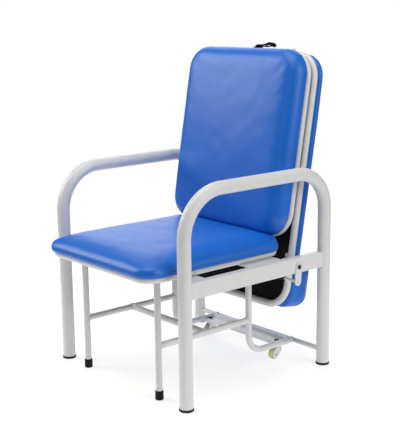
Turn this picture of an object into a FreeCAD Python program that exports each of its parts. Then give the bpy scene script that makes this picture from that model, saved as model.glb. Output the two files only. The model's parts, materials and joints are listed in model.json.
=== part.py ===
import FreeCAD, Part
import math
import os

# Folding attendant chair-bed: steel arm frame, three hinged padded panels and a rolling carriage.
# All lengths are in millimetres. X runs across the chair, the sitter faces -Y and Z is up.
# Each panel is drawn as it lies in the bed, then turned about its hinges into the chair.

V = FreeCAD.Vector
SIDES = {"left": -1, "right": 1}
ACROSS = V(1, 0, 0)
ALONG = V(0, 1, 0)
UP = V(0, 0, 1)

# Clearances shared by all pieces
weld_gap = 0.15
rest_gap = 0.3
running_gap = 0.05
press_gap = 0.5
overrun = 5.0

# Arm frames
arm_gap = 34.5
leg_spacing = 565.0
arm_height = 625.0
arm_radius = 20.0
arm_wall = 1.5
front_bend = 135.0
rear_bend = 115.0
foot_radius = 22.0
foot_height = 8.0
foot_plug = 20.0
crossbar_height = 48.0
crossbar_thick = 25.0
crossbar_wall = 1.5
crossbar_corner = 3.0
crossbar_z = 348.0
brace_radius = 8.0
brace_wall = 1.2
brace_z = 47.0

# Panel frames, boards and the fold
frame_half = 242.0
frame_radius = 11.0
frame_wall = 1.2
plane_z = 382.0
lean_angle = 10.0
panel_corner = 74.0
seat_corner = 46.0
board_thick = 6.0
seat_depth = 510.0
pivot_y = 156.0
pivot_drop = 38.0
head_reach = 642.5
head_tail = 144.0
apex_over = 12.0
apex_drop = 15.0
back_clear = 41.5
hinge_setback = 27.0

# Cushions: wall height, crown above it, roll of the top edge, reach past the frame and corners
cushion_draw = 2.0
end_margin = 4.0
seat_wall = 22.0
seat_crown = 28.0
seat_roll = 14.0
seat_rear_share = 0.25
seat_over = 8.0
seat_lip = 7.0
seat_pad_corner = 50.0
back_wall = 58.0
back_crown = 8.0
back_roll = 46.0
back_over = 3.0
back_pad_corner = 80.0
head_wall = 25.0
head_crown = 4.0
head_roll = 18.0
head_pad_corner = 80.0
pillow_wall = 90.0
pillow_crown = 8.0
pillow_roll = 36.0
pillow_length = 160.0
pillow_corner = 46.0
split_corner = 14.0
side_shares = ((0.12, 0.0), (0.02, 0.2), (0.0, 0.4), (0.06, 0.62), (0.22, 0.82), (0.5, 0.95), (1.0, 1.0))
crown_shares = (0.12, 0.3, 0.6, 0.9)

# Panel fixings
tab_reach = 16.0
tab_width = 24.0
tab_thick = 3.0
tab_shares = (0.2, 0.8)
tab_clear = 3.0
screw_radius = 2.5
screw_head_radius = 5.0
screw_head = 2.6
screw_bite = 4.0

# Head pivot and recline stop
ear_thick = 4.0
ear_radius = 16.0
ear_reach = 53.0
pivot_radius = 4.0
pivot_head_radius = 7.0
pivot_head = 4.0
spacer_radius = 8.0
nut_radius = 7.5
nut_height = 7.0
plate_radius = 12.0
plate_thick = 4.0
stop_along = 40.0
bumper_radius = 7.0
bumper_length = 14.0
stop_head_radius = 5.5
stop_head = 2.0

# Ledges that carry the panels on the crossbars
ledge_under = 4.0
ledge_thick = 3.0
ledge_flange = 34.0
ledge_front = -25.0
ledge_rear = 110.0
front_rest_length = 66.0
front_rest_drop = 46.0
front_rest_reach = 24.0

# Apex and seat hinges
hinge_x = 150.0
leaf_thick = 4.0
leaf_radius = 6.0
apex_pin = 2.5
apex_head_radius = 4.0
seat_ear_radius = 11.0
seat_pin = 4.0
seat_head_radius = 7.0
pin_head = 3.0

# Carriage tubes
rail_radius = 10.0
rail_wall = 1.2
rail_inset = 60.0
leg_back = 79.0
skid_fore = 73.0
skid_bend = 57.0
skid_z = 56.0
skid_length = 191.0
rail_z = 163.0
cross_back = 179.0
rear_cross_back = 16.0
tip_radius = 12.5
tip_height = 28.0
tip_floor = 6.0
plug_flange = 2.5
plug_length = 14.0
bar_depth = 24.0
bar_height = 12.0
bar_wall = 1.5
bar_back = 48.0

# Casters
caster_inset = 20.0
caster_turn = 8.0
wheel_radius = 17.0
wheel_width = 14.0
wheel_chamfer = 2.5
caster_trail = 17.0
cheek_gap = 1.0
cheek_thick = 2.5
cheek_radius = 14.0
crown_radius = 13.0
crown_thick = 4.0
axle_radius = 3.0
axle_head = 2.0
axle_head_radius = 4.5
stem_radius = 4.0
stem_head_radius = 6.5
stem_head = 2.5
stem_nut = 6.0

# Pull strap
strap_width = 25.0
strap_thick = 5.0
strap_reach = 80.0
strap_rise = 16.0
clip_width = 32.0
clip_length = 20.0
clip_thick = 1.2

# Places worked out from the sizes above
frame_outer = frame_half + frame_radius
bar_inner = frame_outer + arm_gap
bar_outer = bar_inner + crossbar_thick
arm_half = (bar_inner + bar_outer) / 2
leg_half = leg_spacing / 2
ledge_inner = frame_half - ledge_under
rail_x = frame_half - rail_inset
caster_x = rail_x - caster_inset
pivot_z = plane_z - pivot_drop
lean = math.radians(lean_angle)
apex_reach = head_reach + apex_over
back_reach = apex_reach - (pivot_drop + (pivot_drop - 2 * apex_drop) * math.sin(lean)) / math.cos(lean)
board_top = frame_radius
board_low = board_top - board_thick
head_turn = -(90 + lean_angle)
back_turn = 90 - lean_angle
seat_rear = -hinge_setback
seat_front = seat_rear - seat_depth
back_pad_low = back_clear + end_margin - back_reach - frame_radius
bearer_z = plane_z + board_low - rail_radius - rest_gap


def turned(point, angle):
    """A side-view point (y, z) turned about X by an angle in degrees."""
    return FreeCAD.Rotation(ACROSS, angle).multVec(point)


pivot_point = V(0, pivot_y, pivot_z)
apex_point = pivot_point + turned(V(0, -apex_reach, pivot_drop - apex_drop), head_turn)
seat_point = apex_point + turned(V(0, -back_reach, apex_drop), back_turn)
leg_y = seat_point.y + seat_front + leg_back
skid_y = seat_point.y + seat_rear - skid_fore
skid_end = skid_y + skid_length
cross_y = leg_y + cross_back
rear_cross_y = skid_end - rear_cross_back
bar_y = skid_end - bar_back


def corner_arc(before, corner, after, radius):
    """Start, middle and end of the arc that rounds one corner of a route."""
    back = (before - corner).normalize()
    ahead = (after - corner).normalize()
    half = back.getAngle(ahead) / 2
    reach = radius / math.tan(half)
    middle = (back + ahead).normalize() * (radius / math.sin(half) - radius)
    return corner + back * reach, corner + middle, corner + ahead * reach


def open_route(points, radii):
    """A wire of straight runs joined by tangent arcs at the inner points."""
    edges = []
    here = points[0]
    for before, corner, after, radius in zip(points, points[1:], points[2:], radii):
        start, middle, end = corner_arc(before, corner, after, radius)
        edges.append(Part.LineSegment(here, start).toShape())
        edges.append(Part.Arc(start, middle, end).toShape())
        here = end
    edges.append(Part.LineSegment(here, points[-1]).toShape())
    return Part.Wire(edges)


def closed_route(points, radii):
    """A closed wire of straight runs joined by tangent arcs at every point."""
    arcs = []
    for index, corner in enumerate(points):
        after = points[(index + 1) % len(points)]
        arcs.append(corner_arc(points[index - 1], corner, after, radii[index]))
    edges = []
    for index, arc in enumerate(arcs):
        edges.append(Part.Arc(*arc).toShape())
        edges.append(Part.LineSegment(arc[2], arcs[(index + 1) % len(arcs)][0]).toShape())
    return Part.Wire(Part.__sortEdges__(edges))


def rod(route, radius):
    """A round bar that follows a route of straight runs and arcs."""
    runs = []
    for edge in route.OrderedEdges:
        start = edge.valueAt(edge.FirstParameter)
        end = edge.valueAt(edge.LastParameter)
        if isinstance(edge.Curve, Part.Circle):
            disc = Part.Face(Part.Wire(Part.makeCircle(radius, start, edge.tangentAt(edge.FirstParameter))))
            sweep = math.degrees(edge.LastParameter - edge.FirstParameter)
            runs.append(disc.revolve(edge.Curve.Center, edge.Curve.Axis, sweep))
        else:
            runs.append(pole(start, end, radius))
    return runs[0].fuse(runs[1:]).removeSplitter()


def tube(route, radius, wall):
    """A round tube swept along a route."""
    return rod(route, radius).cut(rod(route, radius - wall))


def pole(start, end, radius):
    """A straight round bar between two points."""
    reach = end - start
    return Part.makeCylinder(radius, reach.Length, start, reach)


def pipe(start, end, radius, wall):
    """A straight round tube between two points."""
    return pole(start, end, radius).cut(pole(start, end, radius - wall))


def cope(piece, start, end, radius):
    """Shape a tube's end to the tube that it is welded to."""
    return piece.cut(pole(start, end, radius + weld_gap))


def block(low, high):
    """A box between two corners."""
    size = high - low
    return Part.makeBox(size.x, size.y, size.z, low)


def rounded_outline(x_half, y_low, y_high, corner, z):
    """A rounded rectangle in a level plane."""
    points = [V(-x_half, y_low, z), V(x_half, y_low, z), V(x_half, y_high, z), V(-x_half, y_high, z)]
    return closed_route(points, [corner] * len(points))


def link_plate(first, second, radius, x_low, thick):
    """A flat link with round ends, upright and facing X, between two side-view points."""
    along = (second - first).normalize()
    side = ACROSS.cross(along) * radius
    edges = [
        Part.LineSegment(first + side, second + side).toShape(),
        Part.Arc(second + side, second + along * radius, second - side).toShape(),
        Part.LineSegment(second - side, first - side).toShape(),
        Part.Arc(first - side, first - along * radius, first + side).toShape(),
    ]
    plate = Part.Face(Part.Wire(edges)).extrude(ACROSS * thick)
    plate.translate(ACROSS * x_low)
    return plate


def cross_pin(place, x_low, x_high, radius, head_radius, head, both=False):
    """A pin along X whose head lies beyond x_high, with a second head where both is set."""
    low = V(x_low, place.y, place.z)
    high = V(x_high, place.y, place.z)
    pin = pole(low, high, radius).fuse(pole(high, high + ACROSS * head, head_radius))
    if both:
        pin = pin.fuse(pole(low - ACROSS * head, low, head_radius))
    return pin.removeSplitter()


def hex_nut(place, axis, radius, height, bore):
    """A hexagon nut that starts at a place and stands along an axis."""
    flats = Part.makePolygon(hexagon(radius))
    nut = Part.Face(flats).extrude(UP * height).cut(Part.makeCylinder(bore, height))
    nut.Placement = FreeCAD.Placement(place, FreeCAD.Rotation(UP, axis))
    return nut


def hexagon(radius):
    """Corners of a level hexagon, first one repeated to close it."""
    corners = []
    for count in range(7):
        angle = math.radians(60 * count)
        corners.append(V(radius * math.cos(angle), radius * math.sin(angle), 0))
    return corners


def mirrored(shape):
    """The same piece on the other side of the chair."""
    return shape.mirror(V(0, 0, 0), ACROSS)


def both_sides(shape):
    """A right-hand piece and its mirror image as one group."""
    return Part.makeCompound([mirrored(shape), shape])


def cushion_outline(x_half, y_low, y_high, low_corner, high_corner, draw, z):
    """A rounded rectangle with its own corners at each end, its sides drawn in a little."""
    middle = (y_low + y_high) / 2
    low_bevel = low_corner * (1 - math.sqrt(0.5))
    high_bevel = high_corner * (1 - math.sqrt(0.5))
    runs = [
        (V(x_half, y_low + low_corner, z), V(x_half - draw, middle, z)),
        (V(x_half, y_high - high_corner, z), V(x_half - high_bevel, y_high - high_bevel, z)),
        (V(x_half - high_corner, y_high, z), V(0, y_high - draw, z)),
        (V(high_corner - x_half, y_high, z), V(high_bevel - x_half, y_high - high_bevel, z)),
        (V(-x_half, y_high - high_corner, z), V(draw - x_half, middle, z)),
        (V(-x_half, y_low + low_corner, z), V(low_bevel - x_half, y_low + low_bevel, z)),
        (V(low_corner - x_half, y_low, z), V(0, y_low + draw, z)),
        (V(x_half - low_corner, y_low, z), V(x_half - low_bevel, y_low + low_bevel, z)),
    ]
    edges = []
    for index, (start, through) in enumerate(runs):
        end = runs[(index + 1) % len(runs)][0]
        edges.append(Part.Arc(start, through, end).toShape())
    return Part.Wire(edges)


def cushion_levels(short_half, wall, crown, roll, lip):
    """Inset and height of each outline of a cushion, from its lower edge to its crown."""
    base = board_top + rest_gap
    levels = [(roll * inset, base - lip + (wall + lip) * rise) for inset, rise in side_shares]
    for share in crown_shares:
        levels.append((roll + (short_half - roll) * share, base + wall + crown * (1 - (1 - share) ** 2)))
    return levels


def cushion(x_half, y_low, y_high, corners, wall, crown, roll, lip=0, rear_share=1):
    """A crowned cushion with rolled edges, lying on its board, which may rise faster at its rear."""
    short_half = min(x_half, (y_high - y_low) / 2)
    outlines = []
    for inset, z in cushion_levels(short_half, wall, crown, roll, lip):
        scale = 1 - inset / short_half
        low_corner, high_corner = (corner * scale for corner in corners)
        outlines.append(cushion_outline(x_half - inset, y_low + inset, y_high - inset * rear_share,
                                        low_corner, high_corner, cushion_draw * scale, z))
    return Part.makeLoft(outlines, True, True)


def panel_frame(y_low, y_high, corner):
    """The closed tube loop of a panel, centred on height zero."""
    return tube(rounded_outline(frame_half, y_low, y_high, corner, 0), frame_radius, frame_wall)


def panel_board(y_low, y_high, corner):
    """The board that fills a panel frame, flush with the cushion side of the tube."""
    inset = frame_radius + rest_gap
    outline = rounded_outline(frame_half - inset, y_low + inset, y_high - inset, corner - inset, board_low)
    return Part.Face(outline).extrude(UP * board_thick)


def spread_rows(y_low, y_high):
    """Tab rows spread along a panel."""
    return [y_low + (y_high - y_low) * share for share in tab_shares]


def bearer_rows():
    """Tab rows of the seat, just inside the two bearers that cross below its board."""
    reach = rail_radius + tab_clear + tab_width / 2
    return [leg_y - seat_point.y + reach, skid_y - seat_point.y - reach]


def tab_places(rows):
    """Where the board's screws go, on both sides of a panel."""
    x = frame_half - frame_radius - tab_reach / 2
    return [V(side * x, y, board_low) for side in SIDES.values() for y in rows]


def panel_tabs(y_low, y_high, rows):
    """Welded tabs that carry the board, each with a screw hole."""
    tabs = []
    for place in tab_places(rows):
        side = math.copysign(1, place.x)
        inner = side * (frame_half - frame_radius - tab_reach)
        outer = side * frame_half
        low = V(min(inner, outer), place.y - tab_width / 2, board_low - tab_thick)
        tab = block(low, V(max(inner, outer), place.y + tab_width / 2, board_low))
        tab = cope(tab, V(outer, y_low, 0), V(outer, y_high, 0), frame_radius)
        hole = pole(place - UP * tab_thick, place, screw_radius + running_gap)
        tabs.append(tab.cut(hole))
    return Part.makeCompound(tabs)


def screw(place):
    """A pan-head screw driven upwards through a tab into the board."""
    seat = place - UP * tab_thick
    shank = pole(seat, place + UP * screw_bite, screw_radius)
    return shank.fuse(pole(seat - UP * screw_head, seat, screw_head_radius)).removeSplitter()


def drilled(board, places):
    """A board with a pilot hole for each screw."""
    for place in places:
        board = board.cut(pole(place, place + UP * screw_bite, screw_radius + running_gap))
    return board


def panel(name, y_low, y_high, corner, rows):
    """Frame, board, tabs and screws that every panel has."""
    places = tab_places(rows)
    return {
        name + "_frame": panel_frame(y_low, y_high, corner),
        name + "_board": drilled(panel_board(y_low, y_high, corner), places),
        name + "_board_tabs": panel_tabs(y_low, y_high, rows),
        name + "_board_screws": Part.makeCompound([screw(place) for place in places]),
    }


def arm_tube(side):
    """One arm: front leg, armrest and rear leg from a single bent tube."""
    x = side * arm_half
    route = [V(x, -leg_half, foot_height), V(x, -leg_half, arm_height),
             V(x, leg_half, arm_height), V(x, leg_half, foot_height)]
    return tube(open_route(route, [front_bend, rear_bend]), arm_radius, arm_wall)


def leg_line(x, y):
    """The axis of one arm leg, from the floor to the armrest."""
    return V(x, y, 0), V(x, y, arm_height)


def crossbar(side):
    """The flat rectangular bar between the legs of one arm, drilled for the head pivot."""
    x = side * arm_half
    outer = bar_section(crossbar_thick, crossbar_height, crossbar_corner)
    hollow = bar_section(crossbar_thick - 2 * crossbar_wall, crossbar_height - 2 * crossbar_wall,
                         crossbar_corner - crossbar_wall)
    bar = outer.extrude(ALONG * leg_spacing).cut(hollow.extrude(ALONG * leg_spacing))
    bar.translate(V(x, -leg_half, crossbar_z))
    for y in (-leg_half, leg_half):
        bar = cope(bar, *leg_line(x, y), arm_radius)
    reach = ACROSS * (crossbar_thick / 2 + overrun)
    place = V(x, pivot_y, pivot_z)
    return bar.cut(pole(place - reach, place + reach, pivot_radius + running_gap))


def bar_section(thick, height, corner):
    """The rounded rectangle that a flat bar is drawn from, upright across Y."""
    points = [V(-thick / 2, 0, -height / 2), V(thick / 2, 0, -height / 2),
              V(thick / 2, 0, height / 2), V(-thick / 2, 0, height / 2)]
    return Part.Face(closed_route(points, [corner] * len(points)))


def rear_brace():
    """The thin tube that ties the two rear legs together near the floor."""
    ends = [V(-arm_half, leg_half, brace_z), V(arm_half, leg_half, brace_z)]
    brace = pipe(*ends, brace_radius, brace_wall)
    for end in ends:
        brace = cope(brace, *leg_line(end.x, end.y), arm_radius)
    return brace


def foot_caps():
    """Plastic feet: a flange on the floor and a plug up inside each leg."""
    caps = []
    for x in (-arm_half, arm_half):
        for y in (-leg_half, leg_half):
            floor = V(x, y, 0)
            top = floor + UP * foot_height
            plug = pole(top, top + UP * foot_plug, arm_radius - arm_wall - running_gap)
            caps.append(pole(floor, top, foot_radius).fuse(plug).removeSplitter())
    return Part.makeCompound(caps)


def ledge(y_low, y_high):
    """An angle welded inside a crossbar, on which the panel side tubes lie."""
    top = plane_z - frame_radius - rest_gap
    wall = bar_inner - weld_gap
    shelf = block(V(ledge_inner, y_low, top - ledge_thick), V(wall, y_high, top))
    flange = block(V(wall - ledge_thick, y_low, top - ledge_flange), V(wall, y_high, top))
    return shelf.fuse(flange).removeSplitter()


def front_rest():
    """A shorter ledge behind the front leg, closed by an upright end plate."""
    top = plane_z - frame_radius - rest_gap
    front = -leg_half + arm_radius + weld_gap
    wall = bar_inner - weld_gap
    plate = block(V(wall - front_rest_reach, front, top - front_rest_drop), V(wall, front + ledge_thick, top))
    return ledge(front, front + front_rest_length).fuse(plate).removeSplitter()


def stop_place():
    """Where the recline stop stands, clear of the leaning ear by the bumper."""
    ear = V(0, ear_reach, pivot_drop).normalize()
    away = ACROSS.cross(ear) * -(ear_radius + bumper_radius + rest_gap)
    return pivot_point + turned(ear * stop_along + away, head_turn)


def arm_fittings():
    """The pivot and stop hardware of the right-hand crossbar."""
    stop = stop_place()
    face = bar_outer + plate_thick
    ear_face = frame_outer + rest_gap
    nut_face = frame_outer - ear_thick - rest_gap
    nut_end = nut_face - nut_height
    plate = link_plate(pivot_point, stop, plate_radius, bar_outer, plate_thick)
    for place in (pivot_point, stop):
        base = place + ACROSS * bar_outer
        plate = plate.cut(pole(base, base + ACROSS * plate_thick, pivot_radius + running_gap))
    spacer = pipe(pivot_point + ACROSS * ear_face, pivot_point + ACROSS * bar_inner, spacer_radius,
                  spacer_radius - pivot_radius - running_gap)
    bumper_start = stop + ACROSS * (frame_outer - ear_thick / 2 - bumper_length / 2)
    bumper = pipe(bumper_start, bumper_start + ACROSS * bumper_length, bumper_radius,
                  bumper_radius - pivot_radius - running_gap)
    return {
        "stop_plates": plate,
        "pivot_bolts": cross_pin(pivot_point, nut_end, face, pivot_radius, pivot_head_radius, pivot_head),
        "pivot_spacers": spacer,
        "pivot_nuts": hex_nut(pivot_point + ACROSS * nut_end, ACROSS, nut_radius, nut_height,
                              pivot_radius + running_gap),
        "stop_pins": cross_pin(stop, bumper_start.x, face, pivot_radius, stop_head_radius, stop_head),
        "stop_bumpers": bumper,
    }


def arm_pieces():
    """Every piece of the standing arm frame."""
    pieces = {}
    for name, side in SIDES.items():
        pieces[name + "_arm_tube"] = arm_tube(side)
        pieces[name + "_crossbar"] = crossbar(side)
    pieces["rear_brace"] = rear_brace()
    pieces["foot_caps"] = foot_caps()
    pieces["seat_ledges"] = both_sides(ledge(ledge_front, ledge_rear))
    pieces["front_rests"] = both_sides(front_rest())
    for name, piece in arm_fittings().items():
        pieces[name] = both_sides(piece)
    return pieces


def hinge_leaf(tube_place, pin_place, x_low, radius, bore):
    """A hinge plate welded to a panel's end tube, with its pin hole."""
    leaf = link_plate(tube_place, pin_place, radius, x_low, leaf_thick)
    ends = tube_place - ACROSS * frame_half, tube_place + ACROSS * frame_half
    leaf = cope(leaf, *ends, frame_radius)
    base = pin_place + ACROSS * x_low
    leaf = leaf.cut(pole(base, base + ACROSS * leaf_thick, bore))
    return min(leaf.Solids, key=lambda solid: solid.distToShape(Part.Vertex(base))[0])


def head_ear():
    """The right-hand plate that carries the head panel on its pivot."""
    x_low = frame_outer - ear_thick
    tube_place = V(0, ear_reach, pivot_drop)
    ear = link_plate(V(0, 0, 0), tube_place, ear_radius, x_low, ear_thick)
    ear = ear.cut(block(V(x_low, -head_reach, pivot_drop), V(frame_outer, head_reach, arm_height)))
    x = frame_half
    ear = cope(ear, V(x, -head_reach, pivot_drop), V(x, head_reach, pivot_drop), frame_radius)
    return ear.cut(pole(ACROSS * x_low, ACROSS * frame_outer, pivot_radius + running_gap))


def head_pieces():
    """Every piece of the head panel, drawn from its pivot as it lies in the bed."""
    pieces = panel("head", -head_reach, head_tail, panel_corner, spread_rows(-head_reach, head_tail))
    split = head_tail + frame_radius - pillow_length
    pieces["head_cushion"] = cushion(frame_outer, end_margin - head_reach - frame_radius, split - rest_gap,
                                     (head_pad_corner, split_corner), head_wall, head_crown, head_roll)
    pieces["head_pillow"] = cushion(frame_outer, split, split + pillow_length - end_margin,
                                    (split_corner, pillow_corner), pillow_wall, pillow_crown, pillow_roll)
    for piece in pieces.values():
        piece.translate(UP * pivot_drop)
    tube_place = V(0, -head_reach, pivot_drop)
    pin_place = V(0, -apex_reach, pivot_drop - apex_drop)
    leaf = hinge_leaf(tube_place, pin_place, hinge_x, leaf_radius, apex_pin + running_gap)
    pieces["head_hinge_leaves"] = both_sides(leaf)
    pieces["right_head_ear"] = head_ear()
    pieces["left_head_ear"] = mirrored(head_ear())
    return pieces


def pull_strap(y_top):
    """A flat strap looped over the top tube and lying to one side, with a gentle rise."""
    low = frame_radius + clip_thick + rest_gap
    start = V(0, 0, low)
    middle = V(strap_reach / 2, 0, low + strap_rise)
    end = V(strap_reach, 0, low + strap_rise)
    lift = UP * strap_thick
    edges = [
        Part.Arc(start, (start + middle) / 2 + UP * strap_rise / 4, middle).toShape(),
        Part.LineSegment(middle, end).toShape(),
        Part.LineSegment(end, end + lift).toShape(),
        Part.LineSegment(end + lift, middle + lift).toShape(),
        Part.Arc(middle + lift, (start + middle) / 2 + UP * strap_rise / 4 + lift, start + lift).toShape(),
        Part.LineSegment(start + lift, start).toShape(),
    ]
    strap = Part.Face(Part.Wire(edges)).extrude(ALONG * strap_width)
    strap.translate(ALONG * -strap_width / 2)
    return laid_on_end(strap, y_top)


def strap_clip(y_top):
    """The small plate that holds the strap on the top tube."""
    base = frame_radius + rest_gap
    low = V(-clip_length, -clip_width / 2, base)
    return laid_on_end(block(low, V(clip_length, clip_width / 2, base + clip_thick)), y_top)


def laid_on_end(shape, y_top):
    """Turn a shape drawn on top of a tube so that it lies on the panel's top end."""
    shape.rotate(V(0, 0, 0), ACROSS, -90)
    shape.translate(ALONG * y_top)
    return shape


def back_pieces():
    """Every piece of the back panel, drawn from the apex hinge as it lies in the bed."""
    y_low = -back_reach + back_clear
    y_high = -apex_over
    pieces = panel("back", y_low, y_high, panel_corner, spread_rows(y_low, y_high))
    pieces["back_cushion"] = cushion(frame_outer + back_over, back_pad_low, y_high + frame_radius - rest_gap,
                                     (back_pad_corner, back_pad_corner), back_wall, back_crown, back_roll)
    pieces["pull_strap"] = pull_strap(y_high)
    pieces["strap_clip"] = strap_clip(y_high)
    for piece in pieces.values():
        piece.translate(UP * apex_drop)
    top = V(0, y_high, apex_drop)
    apex_x = hinge_x + leaf_thick + rest_gap
    leaf = hinge_leaf(top, V(0, 0, 0), apex_x, leaf_radius, apex_pin + running_gap)
    pieces["back_hinge_leaves"] = both_sides(leaf)
    pin = cross_pin(V(0, 0, 0), hinge_x - rest_gap, apex_x + leaf_thick, apex_pin, apex_head_radius,
                    pin_head, True)
    pieces["apex_pins"] = both_sides(pin)
    ear = hinge_leaf(V(0, y_low, apex_drop), V(0, -back_reach, apex_drop), hinge_x, seat_ear_radius,
                     seat_pin + running_gap)
    pieces["back_ears"] = both_sides(ear)
    return pieces


def bearer_line(y):
    """The axis of a bearer, which ends under the side tubes of the seat frame."""
    reach = frame_half - frame_radius / 2
    return V(-reach, y, bearer_z), V(reach, y, bearer_z)


def bearer(y):
    """A tube under the seat board, from one side of the seat frame to the other."""
    piece = pipe(*bearer_line(y), rail_radius, rail_wall)
    for side in SIDES.values():
        line = V(side * frame_half, y, plane_z)
        piece = cope(piece, line - ALONG * rail_x, line + ALONG * rail_x, frame_radius)
    return piece


def front_leg(side):
    """A thin front leg from its rubber tip to the front bearer."""
    x = side * rail_x
    leg = pipe(V(x, leg_y, tip_floor), V(x, leg_y, bearer_z), rail_radius, rail_wall)
    return cope(leg, *bearer_line(leg_y), rail_radius)


def leg_tip():
    """The rubber cup on a front leg's end."""
    floor = V(rail_x, leg_y, 0)
    cup = pole(floor, floor + UP * tip_height, tip_radius)
    return cup.cut(pole(floor + UP * tip_floor, floor + UP * tip_height, rail_radius + running_gap))


def skid_route(side):
    """Down from the rear bearer, round a bend and back along the floor."""
    x = side * rail_x
    return open_route([V(x, skid_y, bearer_z), V(x, skid_y, skid_z), V(x, skid_end, skid_z)], [skid_bend])


def skid_tube(side):
    """The bent rear leg of the carriage, which carries the casters."""
    return cope(tube(skid_route(side), rail_radius, rail_wall), *bearer_line(skid_y), rail_radius)


def skid_plug():
    """The plug in a skid's open end."""
    end = V(rail_x, skid_end, skid_z)
    flange = pole(end, end + ALONG * plug_flange, rail_radius)
    plug = pole(end - ALONG * plug_length, end, rail_radius - rail_wall - running_gap)
    return flange.fuse(plug).removeSplitter()


def side_rail(side):
    """The level tube between a front leg and a skid."""
    x = side * rail_x
    rail = pipe(V(x, leg_y, rail_z), V(x, skid_y, rail_z), rail_radius, rail_wall)
    for y in (leg_y, skid_y):
        rail = cope(rail, V(x, y, 0), V(x, y, plane_z), rail_radius)
    return rail


def cross_tube(y, z):
    """A tube across the carriage between its two sides."""
    ends = [V(-rail_x, y, z), V(rail_x, y, z)]
    piece = pipe(*ends, rail_radius, rail_wall)
    for end in ends:
        piece = cope(piece, end - ALONG * rail_x, end + ALONG * rail_x, rail_radius)
    return piece


def caster_bar():
    """The flat bar between the skids, drilled for the caster stems."""
    outer = block(V(-rail_x, bar_y - bar_depth / 2, skid_z - rail_radius),
                  V(rail_x, bar_y + bar_depth / 2, skid_z - rail_radius + bar_height))
    hollow = block(V(-rail_x, bar_y - bar_depth / 2 + bar_wall, skid_z - rail_radius + bar_wall),
                   V(rail_x, bar_y + bar_depth / 2 - bar_wall, skid_z - rail_radius + bar_height - bar_wall))
    bar = outer.cut(hollow)
    for side in SIDES.values():
        line = V(side * rail_x, 0, skid_z)
        bar = cope(bar, line, line + ALONG * skid_end, rail_radius)
        base = V(side * caster_x, bar_y, 0)
        bar = bar.cut(pole(base, base + UP * plane_z, stem_radius + running_gap))
    return bar


def caster_stem():
    """The bolt on which a caster swivels, held above the bar by its nut."""
    base = V(caster_x, bar_y, skid_z - rail_radius)
    crown_low = base - UP * (crown_thick + 2 * rest_gap)
    bar_top = base + UP * bar_height
    stem = pole(crown_low, bar_top + UP * stem_nut, stem_radius)
    stem = stem.fuse(pole(crown_low - UP * stem_head, crown_low, stem_head_radius))
    nut = Part.Face(Part.makePolygon(hexagon(nut_radius))).extrude(UP * stem_nut)
    nut.translate(bar_top)
    return stem.fuse(nut).removeSplitter()


def seat_cushion():
    """The seat cushion, whose lip hangs outside the front and side tubes."""
    pad = cushion(frame_outer + seat_over, seat_front - frame_radius - seat_over,
                  seat_rear + frame_radius - end_margin, (seat_pad_corner, seat_pad_corner), seat_wall,
                  seat_crown, seat_roll, seat_lip, seat_rear_share)
    loop = rounded_outline(frame_half, seat_front, seat_rear, seat_corner, 0)
    pad = pad.cut(rod(loop, frame_radius + 2 * rest_gap))
    low = board_top + rest_gap - seat_lip
    inside = rounded_outline(frame_half, seat_front, seat_rear + hinge_setback, seat_corner, low)
    return pad.cut(Part.Face(inside).extrude(UP * seat_lip))


def back_press():
    """The room that the back cushion's lower edge takes out of the seat cushion."""
    levels = cushion_levels(frame_outer + back_over, back_wall, back_crown, back_roll, 0)
    rim = [V(0, back_pad_low + inset - press_gap, apex_drop + z + press_gap) for inset, z in levels]
    points = [V(0, rim[0].y, 0)] + rim + [V(0, rim[-1].y, 0), V(0, rim[0].y, 0)]
    press = Part.Face(Part.makePolygon(points)).extrude(ACROSS * 2 * arm_half)
    press.translate(ACROSS * -arm_half)
    return hung({"press": press}, apex_point, back_turn)["press"]


def seat_pieces():
    """Every piece of the rolling carriage with the seat, placed in the chair."""
    pieces = panel("seat", seat_front, seat_rear, seat_corner, bearer_rows())
    pieces["seat_cushion"] = seat_cushion()
    ear_x = hinge_x + leaf_thick + rest_gap
    ear = hinge_leaf(V(0, seat_rear, 0), V(0, 0, 0), ear_x, seat_ear_radius, seat_pin + running_gap)
    pieces["seat_ears"] = both_sides(ear)
    pin = cross_pin(V(0, 0, 0), hinge_x - rest_gap, ear_x + leaf_thick, seat_pin, seat_head_radius,
                    pin_head, True)
    pieces["seat_pins"] = both_sides(pin)
    for piece in pieces.values():
        piece.translate(seat_point)
    pieces["seat_cushion"] = pieces["seat_cushion"].cut(back_press())
    pieces["front_bearer"] = bearer(leg_y)
    pieces["rear_bearer"] = bearer(skid_y)
    for name, side in SIDES.items():
        pieces[name + "_front_leg"] = front_leg(side)
        pieces[name + "_side_rail"] = side_rail(side)
        pieces[name + "_skid_tube"] = skid_tube(side)
    pieces["leg_tips"] = both_sides(leg_tip())
    pieces["skid_plugs"] = both_sides(skid_plug())
    pieces["middle_cross_tube"] = cross_tube(cross_y, rail_z)
    pieces["rear_cross_tube"] = cross_tube(rear_cross_y, skid_z)
    pieces["caster_bar"] = caster_bar()
    pieces["caster_stems"] = both_sides(caster_stem())
    return pieces


def caster_fork():
    """Crown disc and two cheeks, drawn about the swivel axis with the wheel trailing forwards."""
    crown_top = skid_z - rail_radius - rest_gap
    crown_low = crown_top - crown_thick
    inner = wheel_width / 2 + cheek_gap
    fork = pole(V(0, 0, crown_low), V(0, 0, crown_top), crown_radius)
    head = V(0, 0, crown_top - cheek_radius)
    hub = V(0, -caster_trail, wheel_radius)
    for x_low in (-inner - cheek_thick, inner):
        fork = fork.fuse(link_plate(head, hub, cheek_radius, x_low, cheek_thick))
    reach = ACROSS * (inner + cheek_thick)
    fork = fork.cut(pole(hub - reach, hub + reach, axle_radius + running_gap))
    bore = pole(V(0, 0, crown_low), V(0, 0, crown_top), stem_radius + running_gap)
    return fork.cut(bore).removeSplitter()


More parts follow.
